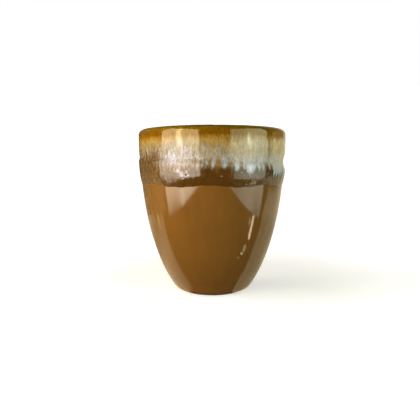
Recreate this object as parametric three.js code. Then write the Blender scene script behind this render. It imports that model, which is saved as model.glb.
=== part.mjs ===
// A handleless latte mug in glazed stoneware. One clay body, with an egg-shaped wall on a low bare foot
// ring, carries four coats of glaze that are fused to it: a brown coat outside, a brown liner inside, a coat
// in the recess under the floor, and a thick running glaze that hangs over the lip in a band with a beaded
// lower edge.
// Millimetres, +Z up. The origin is the centre of the foot ring's underside, and the front is towards -Y.
import * as THREE from "three";

// Driving dimensions of the finished mug, over its glaze
const HEIGHT = 94;
const RIM_DIAMETER = 85.4;
const HEEL_DIAMETER = 47; // where the wall turns under
const HEEL_HEIGHT = 4.3;
const BELLY_POWER = 2.16; // 2 makes the wall an ellipse, and more keeps it upright for longer

// Clay
const LIP_OUTER_ROUND = 2.4;
const LIP_INNER_ROUND = 1.6;
const WALL_AT_FLOOR = 6; // measured level, beside the inside floor
const FLOOR_THICKNESS = 5;
const WELL_ROUND = 12; // between the inside wall and the floor
const FOOT_DIAMETER = 36;
const FOOT_RING_WIDTH = 4.5;
const FOOT_HEIGHT = 1.2; // from the surface it stands on to the clay under the heel
const FOOT_BEVEL = 0.4;
const RECESS_DEPTH = 2;
const RECESS_DRAFT = 1.2; // how far the recess narrows towards its ceiling

// Glaze coats
const BOND = 0.05; // clearance between a coat and what it is fused to
const BASE_COAT = 0.5;
const LINER_COAT = 0.5;
const RECESS_COAT = 0.4;
const BARE_MARGIN = 1; // wiped clean of glaze beside the foot ring, inside and out
const LAP_TAPER = 2.5; // height in which a coat thins out under the running glaze
const COAT_OVERLAP = 5; // how far the running glaze laps over the outside coat and the liner

// Running glaze, from the top of the lip down
const CREST_COAT = 0.5;
const RIM_COAT = 0.9;
const WAIST_COAT = 0.35;
const BEAD_COAT = 1.2;
const BAND_DROP = 31; // top of the lip to the band's lower edge, between the runs
const BEAD_ABOVE_EDGE = 7;
const WAIST_ABOVE_BEAD = 7.5;
const INSIDE_COAT = 0.55; // over the liner, inside the lip
const INSIDE_DROP = 13;

// Runs where the glaze hangs lower and thicker: place round the mug in degrees from the front, positive to
// the right, half width in degrees, and how much lower and thicker it is there in millimetres
const GLAZE_RUNS = [
  { at: -82, half: 24, drop: 0.4, swell: 0.15 },
  { at: -30, half: 20, drop: 1.5, swell: 0.3 },
  { at: 24, half: 18, drop: 1.2, swell: 0.25 },
  { at: 56, half: 15, drop: 0.7, swell: 0.1 },
  { at: 86, half: 16, drop: 0.5, swell: 0.3 },
  { at: 122, half: 22, drop: 1.6, swell: 0.3 },
  { at: 163, half: 17, drop: 0.8, swell: 0.2 },
  { at: 198, half: 20, drop: 1.9, swell: 0.35 },
  { at: 240, half: 19, drop: 1.0, swell: 0.15 },
];

// Facets: sides round the mug, and steps along each stretch of a profile
const SIDES = 48;
const WALL_STEPS = 12;
const HEEL_STEPS = 4;
const LIP_STEPS = 4;
const WELL_STEPS = 5;
const NOSE_STEPS = 4; // from the band's edge to the end of the coat it laps over
const BAND_STEPS = 6; // from there to the lip
const INSIDE_STEPS = 3;

// Sizes that follow from those
const clayTop = HEIGHT - CREST_COAT - BOND;
const clayRim = RIM_DIAMETER / 2 - RIM_COAT - BOND;
const clayHeel = HEEL_DIAMETER / 2 - BASE_COAT - BOND;
const footRadius = FOOT_DIAMETER / 2;
const ringInner = footRadius - FOOT_RING_WIDTH;
const recessRadius = ringInner - RECESS_DRAFT;
const floorTop = RECESS_DEPTH + FLOOR_THICKNESS;
const lipStart = clayTop - LIP_OUTER_ROUND; // where the outside wall begins to round over
const insideStart = clayTop - LIP_INNER_ROUND;
const crestRadius = clayRim - LIP_OUTER_ROUND;
const bellyHeight = (lipStart - HEEL_HEIGHT) / (1 - (clayHeel / clayRim) ** 2) ** (1 / BELLY_POWER);
const bandEdge = HEIGHT - BAND_DROP;
const insideEdge = HEIGHT - INSIDE_DROP;
const baseTop = bandEdge + COAT_OVERLAP;
const linerTop = insideEdge + COAT_OVERLAP;

const blend = (from, to, share) => from + (to - from) * THREE.MathUtils.smoothstep(share, 0, 1);
const steps = (count) => Array.from({ length: count + 1 }, (_, i) => i / count);

// A spot on the clay's surface, with the direction that points out of the clay there.
const spot = (r, z, normalR, normalZ) => ({
  at: new THREE.Vector2(r, z),
  out: new THREE.Vector2(normalR, normalZ).normalize(),
});
const lifted = (place, height) => place.at.clone().addScaledVector(place.out, height);

// Clay outside the wall: a superellipse that stands upright at the lip and passes through the heel
function outsideRadius(z) {
  const share = Math.max(lipStart - z, 0) / bellyHeight;
  return clayRim * Math.sqrt(1 - share ** BELLY_POWER);
}

function outsideSlope(z) {
  const share = Math.max(lipStart - z, 0) / bellyHeight;
  const rise = (BELLY_POWER / (2 * bellyHeight)) * share ** (BELLY_POWER - 1);
  return (clayRim * rise) / Math.sqrt(1 - share ** BELLY_POWER);
}

const outside = (z) => spot(outsideRadius(z), z, 1, -outsideSlope(z));

// Clay inside the wall, which thickens from the lip down to the floor
const lipWall = LIP_OUTER_ROUND + LIP_INNER_ROUND;

function insideRadius(z) {
  const depth = (insideStart - z) / (insideStart - floorTop);
  return outsideRadius(z) - lipWall - (WALL_AT_FLOOR - lipWall) * depth ** 2;
}

function insideSlope(z) {
  const depth = (insideStart - z) / (insideStart - floorTop);
  const thickening = (2 * (WALL_AT_FLOOR - lipWall) * depth) / (insideStart - floorTop);
  return outsideSlope(z) + thickening;
}

const inside = (z) => spot(insideRadius(z), z, -1, insideSlope(z));

// The lip is two quarter rounds that meet at its crest: turn 0 is the wall, and 1 is the crest
function lipSpot(round, side, turn) {
  const angle = (turn * Math.PI) / 2;
  const across = side * Math.cos(angle);
  const up = Math.sin(angle);
  return spot(crestRadius + round * across, clayTop - round + round * up, across, up);
}

// The heel leaves the foot ring level and runs into the wall
const heelCurve = new THREE.QuadraticBezierCurve(
  new THREE.Vector2(footRadius, FOOT_HEIGHT),
  new THREE.Vector2(clayHeel - outsideSlope(HEEL_HEIGHT) * (HEEL_HEIGHT - FOOT_HEIGHT), FOOT_HEIGHT),
  new THREE.Vector2(clayHeel, HEEL_HEIGHT),
);

function heel(t) {
  const place = heelCurve.getPoint(t);
  const along = heelCurve.getTangent(t);
  return spot(place.x, place.y, along.y, -along.x);
}

// The share of the heel at which it is the bare margin away from the foot ring
function heelShareAtMargin() {
  const { v0, v1, v2 } = heelCurve;
  const square = v0.x - 2 * v1.x + v2.x;
  const linear = v1.x - v0.x;
  return BARE_MARGIN / (linear + Math.sqrt(linear ** 2 + square * BARE_MARGIN));
}

// The well rounds the inside wall into the level floor
const wellTop = floorTop + WELL_ROUND;
const wellCorner = insideRadius(wellTop) - insideSlope(wellTop) * WELL_ROUND;
const wellCurve = new THREE.QuadraticBezierCurve(
  new THREE.Vector2(insideRadius(wellTop), wellTop),
  new THREE.Vector2(wellCorner, floorTop),
  new THREE.Vector2(wellCorner - WELL_ROUND, floorTop),
);

function well(t) {
  const place = wellCurve.getPoint(t);
  const along = wellCurve.getTangent(t);
  return spot(place.x, place.y, along.y, -along.x);
}

// Stretches of the clay's surface, each a row of spots
const heelSpots = (from) => steps(HEEL_STEPS).map((t) => heel(from + (1 - from) * t));
const wallSpots = (from, to, count) => steps(count).map((t) => outside(from + (to - from) * t));
const insideSpots = (from, to, count) => steps(count).map((t) => inside(from + (to - from) * t));
const wellSpots = () => steps(WELL_STEPS).map(well);
const lipSpots = () => [
  ...steps(LIP_STEPS).map((t) => lipSpot(LIP_OUTER_ROUND, 1, t)),
  ...steps(LIP_STEPS).slice(1).map((t) => lipSpot(LIP_INNER_ROUND, -1, 1 - t)),
];

// A profile turned about the mug's axis. Its points run anticlockwise, with the axis on the left.
function turned(points) {
  return new THREE.LatheGeometry(points, SIDES).rotateX(Math.PI / 2);
}

const glossy = (color) => new THREE.MeshStandardMaterial({ color, roughness: 0.12, metalness: 0 });
const matt = (color) => new THREE.MeshStandardMaterial({ color, roughness: 0.85, metalness: 0 });
const mug = new THREE.Group();

function add(name, geometry, material) {
  const mesh = new THREE.Mesh(geometry, material);
  mesh.name = name;
  mug.add(mesh);
}

// Clay body: recess, foot ring, heel, wall, lip, inside wall, well and floor in one piece
function clayBody() {
  return turned([
    new THREE.Vector2(0, RECESS_DEPTH),
    new THREE.Vector2(recessRadius, RECESS_DEPTH),
    new THREE.Vector2(ringInner, FOOT_BEVEL),
    new THREE.Vector2(ringInner + FOOT_BEVEL, 0),
    new THREE.Vector2(footRadius - FOOT_BEVEL, 0),
    new THREE.Vector2(footRadius, FOOT_BEVEL),
    ...heelSpots(0).map((s) => s.at),
    ...wallSpots(HEEL_HEIGHT, lipStart, WALL_STEPS).slice(1, -1).map((s) => s.at),
    ...lipSpots().map((s) => s.at),
    ...insideSpots(insideStart, wellTop, WALL_STEPS).slice(1).map((s) => s.at),
    ...wellSpots().slice(1).map((s) => s.at),
    new THREE.Vector2(0, floorTop),
  ]);
}

// A coat over a row of spots, as a closed skin whose last spot thins out to nothing
function skin(spots, coat) {
  const under = spots.map((s) => lifted(s, BOND));
  const over = spots.slice(0, -1).map((s) => lifted(s, BOND + coat));
  const loop = [...over, ...under.reverse()];
  return [...loop, loop[0].clone()];
}

// The outside coat starts at the bare margin beside the foot ring and thins out under the running glaze
function outsideGlaze() {
  return turned(
    skin(
      [
        ...heelSpots(heelShareAtMargin()),
        ...wallSpots(HEEL_HEIGHT, baseTop - LAP_TAPER, WALL_STEPS).slice(1),
        outside(baseTop),
      ],
      BASE_COAT,
    ),
  );
}

// The liner covers the floor, the well and the inside wall, and thins out under the running glaze
function linerGlaze() {
  const spots = [
    spot(0, floorTop, 0, 1),
    ...wellSpots().reverse(),
    ...insideSpots(wellTop, linerTop - LAP_TAPER, WALL_STEPS).slice(1),
    inside(linerTop),
  ];
  const under = spots.map((s) => lifted(s, BOND));
  const over = spots.slice(0, -1).map((s) => lifted(s, BOND + LINER_COAT));
  return turned([...under, ...over.reverse()]);
}

// The recess coat is a disc of glaze under the floor, wiped back from the foot ring
function recessGlaze() {
  const radius = recessRadius - BARE_MARGIN;
  const top = RECESS_DEPTH - BOND;
  return turned([
    new THREE.Vector2(0, top - RECESS_COAT),
    new THREE.Vector2(radius - RECESS_COAT, top - RECESS_COAT),
    new THREE.Vector2(radius, top),
    new THREE.Vector2(0, top),
  ]);
}

// The sum of the runs at one place round the mug, each a raised cosine
function runsAt(degrees, what) {
  const one = (run) => {
    const away = Math.abs(THREE.MathUtils.euclideanModulo(degrees - run.at + 180, 360) - 180) / run.half;
    return away < 1 ? (run[what] * (1 + Math.cos(Math.PI * away))) / 2 : 0;
  };
  return GLAZE_RUNS.reduce((sum, run) => sum + one(run), 0);
}

// How far the running glaze's underside lies off the clay: on the clay itself, or on the coat it laps over
const lapLift = (z, coatTop, coat) =>
  BOND + THREE.MathUtils.clamp((coatTop - z) / LAP_TAPER, 0, 1) * (coat + BOND);

// How far its surface lies off the clay outside: a rounded nose, the bead, the waist and the rim, going up
function bandLift(z, edge, swell) {
  const bead = edge + BEAD_ABOVE_EDGE;
  const waist = bandEdge + BEAD_ABOVE_EDGE + WAIST_ABOVE_BEAD;
  const beadLift = BOND + BEAD_COAT + swell;
  if (z > waist) return BOND + blend(WAIST_COAT, RIM_COAT, (z - waist) / (lipStart - waist));
  if (z > bead) return blend(beadLift, BOND + WAIST_COAT, (z - bead) / (waist - bead));
  const edgeLift = lapLift(edge, baseTop, BASE_COAT);
  const nose = Math.sqrt(Math.max(1 - ((bead - z) / BEAD_ABOVE_EDGE) ** 2, 0));
  return edgeLift + (beadLift - edgeLift) * nose;
}

// Inside the lip the band is even, and rounds off at its edge
function insideLift(z) {
  const edgeLift = lapLift(insideEdge, linerTop, LINER_COAT);
  const nose = Math.sqrt(1 - (1 - THREE.MathUtils.clamp((z - insideEdge) / COAT_OVERLAP, 0, 1)) ** 2);
  const full = edgeLift + INSIDE_COAT * nose;
  return blend(full, BOND + CREST_COAT, (z - linerTop) / (insideStart - linerTop));
}

// One cut through the running glaze: its surface from the outer edge over the lip to the inner edge, and
// back along its underside
function bandSection(degrees) {
  const edge = bandEdge - runsAt(degrees, "drop");
  const swell = runsAt(degrees, "swell");
  const full = baseTop - LAP_TAPER;
  const outsideLevels = [
    ...steps(NOSE_STEPS).map((t) => edge + (full - edge) * t),
    baseTop,
    ...steps(BAND_STEPS).slice(1, -1).map((t) => baseTop + (lipStart - baseTop) * t),
  ];
  const insideLevels = [
    ...steps(INSIDE_STEPS).slice(1, -1).map((t) => insideStart + (linerTop - insideStart) * t),
    linerTop,
    ...steps(INSIDE_STEPS).map((t) => linerTop - LAP_TAPER + (insideEdge - linerTop + LAP_TAPER) * t),
  ];
  const lipCoat = (index) => blend(RIM_COAT, CREST_COAT, index / LIP_STEPS);
  const places = [
    ...outsideLevels.map((z) => ({
      place: outside(z),
      under: lapLift(z, baseTop, BASE_COAT),
      over: bandLift(z, edge, swell),
    })),
    ...lipSpots().map((place, i) => ({ place, under: BOND, over: BOND + lipCoat(i) })),
    ...insideLevels.map((z) => ({
      place: inside(z),
      under: lapLift(z, linerTop, LINER_COAT),
      over: insideLift(z),
    })),
  ];
  const under = places.map((p) => lifted(p.place, p.under));
  const over = places.slice(1, -1).map((p) => lifted(p.place, p.over));
  const loop = [...over, ...under.reverse()];
  return [...loop, loop[0].clone()];
}

// The running glaze is turned like the rest, with each side's own cut through it
function runningGlaze() {
  const geometry = new THREE.LatheGeometry(bandSection(0), SIDES);
  const position = geometry.getAttribute("position");
  const count = position.count / (SIDES + 1);
  for (let side = 0; side <= SIDES; side++) {
    const turn = side % SIDES;
    const angle = (turn / SIDES) * 2 * Math.PI;
    bandSection(THREE.MathUtils.radToDeg(angle)).forEach((p, i) => {
      position.setXYZ(side * count + i, p.x * Math.sin(angle), p.y, p.x * Math.cos(angle));
    });
  }
  return geometry.rotateX(Math.PI / 2);
}

add("clay_body", clayBody(), matt(0xb59a7c));
add("outside_glaze", outsideGlaze(), glossy(0x7d531f));
add("liner_glaze", linerGlaze(), glossy(0x7a5428));
add("foot_recess_glaze", recessGlaze(), glossy(0x76501f));
add("running_rim_glaze", runningGlaze(), glossy(0xb39a63));

export default mug;
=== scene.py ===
"""A handleless latte mug in glazed stoneware: a clay body under four coats of glaze, in a small studio.

Sizes are millimetres, angles are degrees round the mug from its front, positive to the right, and a drop is
measured down from the top of the lip. Meshes and the studio are in metres.
"""

import math

import bpy
import numpy as np
from mathutils import Matrix, Vector

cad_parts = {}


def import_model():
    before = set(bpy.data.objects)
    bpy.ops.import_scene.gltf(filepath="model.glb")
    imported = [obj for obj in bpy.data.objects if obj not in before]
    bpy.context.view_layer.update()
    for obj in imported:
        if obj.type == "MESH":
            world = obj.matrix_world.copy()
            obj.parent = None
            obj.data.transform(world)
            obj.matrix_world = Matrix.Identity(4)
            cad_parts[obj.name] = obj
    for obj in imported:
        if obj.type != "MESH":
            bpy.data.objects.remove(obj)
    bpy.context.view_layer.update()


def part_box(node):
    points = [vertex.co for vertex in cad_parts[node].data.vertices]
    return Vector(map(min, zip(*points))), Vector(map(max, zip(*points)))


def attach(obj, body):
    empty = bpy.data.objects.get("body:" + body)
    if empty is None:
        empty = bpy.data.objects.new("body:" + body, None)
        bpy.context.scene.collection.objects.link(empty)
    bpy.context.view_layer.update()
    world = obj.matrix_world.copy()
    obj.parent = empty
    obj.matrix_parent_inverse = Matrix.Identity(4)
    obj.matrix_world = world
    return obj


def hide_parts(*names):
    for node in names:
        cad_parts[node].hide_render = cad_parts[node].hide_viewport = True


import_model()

MM = 0.001

# Clay, as the frame has it
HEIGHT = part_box("running_rim_glaze")[1].z / MM
CLAY_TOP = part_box("clay_body")[1].z / MM
CLAY_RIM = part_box("clay_body")[1].x / MM
CLAY_HEEL = 22.95
HEEL_HEIGHT = 4.3
BELLY_POWER = 2.16
LIP_OUTER_ROUND = 2.4
LIP_INNER_ROUND = 1.6
WALL_AT_FLOOR = 6.0
FLOOR_TOP = 7.0
WELL_ROUND = 12.0
FOOT_RADIUS = 18.0
FOOT_HEIGHT = 1.2
FOOT_BEVEL = 0.4
RING_INNER = 13.5
RECESS_RADIUS = 12.3
RECESS_DEPTH = 2.0
RECESS_CORNER = (0.5, 0.15)

# Glaze coats
BOND = 0.05
BASE_COAT = 0.5
LINER_COAT = 0.5
RECESS_COAT = 0.4
BARE_MARGIN = 1.0
ROLLED_EDGE = 1.6
LAP_TAPER = 2.5
BASE_TOP_DROP = 26.0
LINER_TOP_DROP = 8.0
CREST_COAT = 0.5
RIM_COAT = 0.9
RIM_COAT_ENDS = 11.5
LEAST_BEAD = 0.3
NOSE_CORNER = 1.35
NOSE_ROUND = 0.25
INSIDE_COAT = 0.55
INSIDE_DROP = 13.0
INSIDE_NOSE = 4.0
INSIDE_STRETCH = 2.2

# Ripples: size; least and most waves round the mug; most climb in radians a millimetre; how many; seed
COAT_RIPPLES = (0.012, 3, 14, 0.12, 14, 5)
EDGE_RIPPLES = (0.12, 9, 40, 0, 10, 3)
STREAK_RIPPLES = (0.035, 40, 110, 0.35, 26, 7)
SWELL_RIPPLES = (0.05, 10, 36, 0.45, 20, 8)
INSIDE_RIPPLES = (0.9, 4, 16, 0, 10, 9)
GAP_RIPPLES = (0.5, 20, 70, 0, 16, 13)
RIPPLES_START = 4.0
RIPPLES_END = 2.0
RIPPLES_FADE = 12.0

# The running glaze at stations round the mug: angle; drop and thickness of its waist; drop of the bead's
# shoulder; thickness of the bead; drop at which its nose begins; drop of its edge
RUN_STATIONS = np.array([
    (-160, 17, 0.45, 21, 1.45, 25, 32.4),
    (-138, 16.6, 0.55, 20, 1.2, 24.2, 31),
    (-120, 16.2, 0.6, 19, 1.3, 24.4, 31.8),
    (-98, 16, 0.65, 18.4, 1.25, 24, 30.8),
    (-82, 15.7, 0.66, 18, 1.3, 24, 31),
    (-64, 15.8, 0.66, 18.2, 1.2, 23.8, 30.2),
    (-57, 15.9, 0.62, 18.5, 1.22, 24, 30.7),
    (-46, 16, 0.76, 18.6, 2.05, 24.2, 30.2),
    (-34, 16.2, 0.58, 19.4, 1.65, 25.2, 31.5),
    (-26, 16.2, 0.6, 20.3, 1.8, 25.9, 31.6),
    (-17, 16.4, 0.54, 20.5, 1.8, 26, 31.3),
    (-7, 16.6, 0.48, 20.8, 1.92, 25.8, 30.7),
    (0, 16.8, 0.45, 21, 1.4, 25.4, 30.6),
    (6, 17, 0.43, 21.2, 1.6, 26.2, 30.9),
    (16, 17.2, 0.38, 21.6, 1.95, 26.9, 31.7),
    (28, 17.5, 0.3, 21.9, 1.97, 26.9, 31.5),
    (37, 17.9, 0.22, 22.2, 2, 26.6, 31),
    (43, 18, 0.18, 22.6, 1.9, 26.2, 30.5),
    (51, 18, 0.14, 23, 1.4, 24.2, 31.1),
    (60, 18.2, 0.1, 23.2, 1.4, 24.2, 31.6),
    (82, 18.4, 0.04, 23.6, 1.48, 24.3, 31.5),
    (104, 17.8, 0.2, 22.6, 1.2, 24, 30.7),
    (122, 17.4, 0.35, 22, 1.5, 25, 32.4),
    (144, 17, 0.45, 21, 1.15, 24, 30.7),
    (163, 16.8, 0.5, 20.6, 1.35, 24.4, 31.6),
    (180, 16.8, 0.5, 20.6, 1.2, 24, 30.8),
])

# The pale glaze at stations round the mug: angle; drop at which it gives way between its fingers; length
# over which it does so; how creamy and how hazy it is; how blue its fingers end; how thin the glaze is below
PALE_STATIONS = np.array([
    (-165, 18, 1.2, 0.5, 0.3, 0.6, 0.2),
    (-130, 15.5, 2.2, 0.3, 0.2, 0.2, 0.6),
    (-100, 13.5, 3, 0.2, 0.1, 0, 1),
    (-75, 12.6, 3, 0.1, 0.1, 0, 1),
    (-54, 13, 3, 0.1, 0.1, 0, 1),
    (-45, 12.4, 2.4, 0.1, 0.2, 0, 1),
    (-40, 13.6, 2, 0.15, 0.6, 0, 0.8),
    (-36, 17.8, 2, 0.1, 0.9, 0, 0.5),
    (-32, 18.8, 1.6, 0.1, 1, 0, 0.2),
    (-27, 20.2, 1.6, 0.1, 1, 0.1, 0.1),
    (-20, 19.8, 1.5, 0.15, 1, 0.1, 0),
    (-15, 18.6, 1.3, 0.15, 0.8, 0.2, 0),
    (-10, 18.2, 1.3, 0.15, 0.5, 0.4, 0),
    (-2, 17.4, 1.1, 0.15, 0.25, 0.8, 0),
    (10, 17.2, 1.1, 0.2, 0.25, 1, 0),
    (14, 19.2, 1.1, 0.65, 0.2, 1, 0.2),
    (20, 20.2, 1.1, 0.9, 0.15, 1, 0.5),
    (27, 21.2, 1.1, 1, 0.1, 1, 0.6),
    (36, 20.6, 1.1, 0.8, 0.2, 1, 0.5),
    (41, 20.2, 1.1, 0.85, 0.1, 1, 0.3),
    (45, 19.6, 1.1, 0.5, 0.1, 1, 0),
    (51, 20, 1.1, 1.2, 0, 1, 0),
    (62, 20.5, 1.1, 1.3, 0, 1, 0.1),
    (85, 20, 1, 0.8, 0.1, 0.9, 0.2),
    (115, 19, 1, 0.6, 0.2, 0.7, 0.1),
    (150, 17.5, 1, 0.5, 0.3, 0.7, 0.1),
])

# Fingers of the pale glaze at the front: angle; half width in degrees; drop of the end; lean in degrees a
# millimetre; how blue and how bright the end is
FRONT_FINGERS = np.array([
    (-39.2, 0.8, 20.4, 0, 0, 0.3), (-36.2, 1.1, 21.4, 0, 0, 0.3), (-32.2, 0.9, 20.8, 0, 0.1, 0.3),
    (-29.6, 1.2, 22.4, 0, 0.2, 0.4), (-26.2, 1, 21.8, 0, 0.1, 0.3), (-22.8, 1.2, 22, 0, 0.2, 0.4),
    (-19.6, 1, 21.4, -0.05, 0.15, 0.4), (-16.6, 0.9, 20.4, -0.05, 0.15, 0.3),
    (-13.8, 1, 21, -0.1, 0.3, 0.4), (-10.4, 1.3, 22, -0.15, 0.5, 0.4), (-7.2, 1, 21.8, -0.3, 0.55, 0.4),
    (-4.2, 1.2, 21.4, -0.2, 0.7, 0.4), (-0.2, 1.5, 22, -0.35, 0.9, 0.35), (8.4, 2.5, 21.7, 0, 1, 0.25),
    (16.8, 2.5, 23, 0, 0.85, 0.7), (22.6, 1.6, 22.2, 0, 0.6, 0.7), (27.2, 4, 24.4, 0, 0.95, 1),
    (34.2, 1.5, 23.2, 0.05, 0.95, 0.5), (38, 1.9, 22.8, 0, 0.5, 0.7), (41.2, 1.2, 20.9, 0, 0.5, 0.4),
    (45.2, 1.3, 22.6, 0, 1, 0.4), (51.6, 1.7, 26.2, 0, 1, 0.6), (55.5, 1.7, 26.6, 0, 1, 0.6),
    (59.4, 1.8, 26.6, 0, 1, 0.6), (63.6, 1.9, 26.4, 0, 1, 0.6), (68.2, 1.8, 25.5, 0, 1, 0.6),
    (72.8, 1.9, 25.2, 0, 1, 0.6),
])
FINGER_ROUND = 2.6
BLUE_ABOVE = 8.5
BLUE_FADE = 7.0
BLUE_NARROW = 1.2

# Fingers round the rest of the mug: angles from and to, spacing, and ranges of what is drawn for each
FINGERS_FROM, FINGERS_TO = 77, 316
FINGER_SPACING = 3.4
FINGER_SEED = 11
FINGER_SHIFTS = (-1.2, 1.2)
FINGER_HALVES = (0.9, 1.9)
FINGER_LENGTHS = (0.8, 4.6)
FINGER_LEANS = (-0.25, 0.15)
FINGER_BRIGHTS = (0.2, 0.7)

# Dabs of one tone: angle; drop; half width and half height; strength. The upright pale dabs are pale streaks
# in the glaze; the flat ones low on the bead and the small ones at its nose are painted highlights and
# painted reflections
PALE_DABS_AND_GLINTS = np.array([
    (-55.4, 12.2, 0.9, 3.2, 0.75), (-45.5, 12.8, 0.5, 1, 0.6), (-46.8, 17, 0.4, 0.8, 0.55),
    (-43.6, 16.8, 0.4, 0.9, 0.5), (-61.3, 19.5, 0.4, 1.1, 0.35), (-52, 23.3, 0.4, 0.9, 0.3),
    (-45.8, 21.2, 0.4, 0.9, 0.3), (-51.2, 26.6, 0.4, 0.8, 0.35), (-39.8, 17.6, 0.6, 2.2, 0.45),
    (-39.4, 21.2, 0.6, 2.2, 0.45), (-37.6, 24.4, 0.6, 1.8, 0.45), (-35, 27, 0.7, 1.4, 0.45),
    (-31.2, 28.7, 1.3, 0.6, 0.4), (-26.8, 28.4, 1.7, 0.4, 0.4), (-22.2, 27.8, 1.7, 0.35, 0.4),
    (-29.5, 18.2, 0.9, 3, 0.65), (-21.4, 14.5, 1, 3.2, 0.6), (-19.8, 18.8, 0.8, 2.5, 0.6),
    (-27, 22.6, 0.9, 1.2, 0.55), (-24.2, 23.2, 1.5, 1.3, 0.95), (-21.6, 24.4, 1.4, 1.1, 0.95),
    (-21.2, 25.6, 1.3, 0.8, 0.95), (-17.6, 23.6, 0.9, 0.8, 0.8), (-16.4, 25.4, 0.7, 0.7, 0.8),
    (-20.4, 27.1, 1.7, 0.45, 0.75), (-15.5, 22.6, 0.8, 0.9, 0.5), (24.6, 30.2, 0.5, 0.35, 1),
    (27.8, 29.6, 0.9, 0.3, 0.8), (20.4, 24.2, 0.5, 0.5, 0.9), (43.4, 24.8, 0.5, 0.5, 0.6),
    (18, 27.3, 2.6, 0.35, 0.5), (25.5, 27.4, 3, 0.35, 0.5), (33.5, 27.1, 3, 0.35, 0.45),
    (27, 25.8, 8, 1.6, 0.32), (6.2, 26, 1.1, 0.4, 0.55), (3.8, 27, 0.8, 0.3, 0.35),
])
DARK_DABS = np.array([
    (-8.6, 12.6, 1, 3.2, 0.75), (8, 14, 0.9, 1.8, 0.45), (-17.2, 11.2, 0.8, 1.6, 0.4),
    (-42.6, 15.4, 0.9, 2.4, 0.6), (-39.6, 10.4, 0.4, 0.7, 0.6), (-36.2, 9, 0.7, 1.6, 0.45),
    (-13, 19.5, 0.6, 1.8, 0.6), (42.5, 20.5, 0.5, 1.6, 0.6), (44.8, 12.5, 0.8, 3, 0.35),
])
RUST_DABS = np.array([
    (-2.3, 18.2, 0.6, 1.2, 0.85), (3.6, 18.4, 0.7, 1.4, 0.85), (3.3, 22.4, 0.8, 2, 0.3),
    (20.8, 20.2, 0.6, 1.5, 0.4), (33, 18.3, 0.6, 1, 0.75), (20.4, 19, 0.5, 1.2, 0.5),
    (13.4, 19.2, 0.6, 1.4, 0.35),
])
PINHOLE_ANGLE = -18.2
PINHOLE_DROP = 25.2
PINHOLE_DEPTH = 0.3
PINHOLE_RADIUS = 0.6

LIP_START = CLAY_TOP - LIP_OUTER_ROUND
INSIDE_START = CLAY_TOP - LIP_INNER_ROUND
CREST_RADIUS = CLAY_RIM - LIP_OUTER_ROUND
LIP_WALL = LIP_OUTER_ROUND + LIP_INNER_ROUND
BELLY_HEIGHT = (LIP_START - HEEL_HEIGHT) / (1 - (CLAY_HEEL / CLAY_RIM) ** 2) ** (1 / BELLY_POWER)
BASE_TOP = HEIGHT - BASE_TOP_DROP
LINER_TOP = HEIGHT - LINER_TOP_DROP
INSIDE_EDGE = HEIGHT - INSIDE_DROP
WELL_TOP = FLOOR_TOP + WELL_ROUND

# Meshes: sides round the axis, radii of the rings next to a pole, and the angle of a sharp edge
CLAY_SIDES = 256
COAT_SIDES = 320
RECESS_SIDES = 192
BAND_SIDES = 640
POLE_RINGS = (4.0, 2.0)
RECESS_RINGS = (4.0, 8.0)
SHARP_ANGLE = 50


# Shape helpers

def ease(share):
    """Smoothstep: three times the square less twice the cube of a share held between 0 and 1."""
    held = np.clip(share, 0, 1)
    return held * held * (3 - 2 * held)


def eased(value, low, high):
    """Smoothstep from 0 at low to 1 at high; low may be the larger."""
    return ease((value - low) / (high - low))


def spots(r, z, out_r, out_z):
    """Places on a surface of revolution as rows of radius, level and the unit direction out of it."""
    r, z, out_r, out_z = np.broadcast_arrays(r, z, out_r, out_z)
    length = np.hypot(out_r, out_z)
    return np.stack([r, z, out_r / length, out_z / length], axis=-1)


def lifted(places, height):
    """Radius and level of places moved out of the surface by a height."""
    return places[..., 0] + height * places[..., 2], places[..., 1] + height * places[..., 3]


def outside(z):
    """The wall: the rim times the root of one less a power of the share of the belly's height."""
    share = np.maximum(LIP_START - z, 0) / BELLY_HEIGHT
    root = np.sqrt(1 - share ** BELLY_POWER)
    slope = CLAY_RIM * BELLY_POWER / (2 * BELLY_HEIGHT) * share ** (BELLY_POWER - 1) / root
    return spots(CLAY_RIM * root, z, 1, -slope)


def inside(z):
    """The inside wall: the outside one less the lip's wall, which thickens by the square of the depth."""
    wall = outside(z)
    depth = (INSIDE_START - z) / (INSIDE_START - FLOOR_TOP)
    slope = -wall[..., 3] / wall[..., 2]
    slope = slope + 2 * (WALL_AT_FLOOR - LIP_WALL) * depth / (INSIDE_START - FLOOR_TOP)
    return spots(wall[..., 0] - LIP_WALL - (WALL_AT_FLOOR - LIP_WALL) * depth ** 2, z, -1, slope)


def lip(turn):
    """The lip: a quarter round outside and a smaller one inside; turn goes from -1 to 1, the crest at 0."""
    angle = turn * math.pi / 2
    bend = np.where(turn < 0, LIP_OUTER_ROUND, LIP_INNER_ROUND)
    across, up = -np.sin(angle), np.cos(angle)
    return spots(CREST_RADIUS + bend * across, CLAY_TOP - bend + bend * up, across, up)


def bent(start, corner, end, t):
    """A quadratic curve from start to end that leaves and arrives along the lines to its corner."""
    t = np.asarray(t)[..., None]
    start, corner, end = np.array(start), np.array(corner), np.array(end)
    place = (1 - t) ** 2 * start + 2 * t * (1 - t) * corner + t ** 2 * end
    along = (1 - t) * (corner - start) + t * (end - corner)
    return spots(place[..., 0], place[..., 1], along[..., 1], -along[..., 0])


def heel(t):
    """The heel: leaves the foot ring level and runs into the wall."""
    wall = outside(np.array(HEEL_HEIGHT))
    slope = -wall[3] / wall[2]
    corner = (CLAY_HEEL - slope * (HEEL_HEIGHT - FOOT_HEIGHT), FOOT_HEIGHT)
    return bent((FOOT_RADIUS, FOOT_HEIGHT), corner, (CLAY_HEEL, HEEL_HEIGHT), t)


def well(t):
    """The well: rounds the inside wall into the level floor."""
    wall = inside(np.array(WELL_TOP))
    slope = -wall[3] / wall[2]
    corner = wall[0] - slope * WELL_ROUND
    return bent((wall[0], WELL_TOP), (corner, FLOOR_TOP), (corner - WELL_ROUND, FLOOR_TOP), t)


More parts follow.
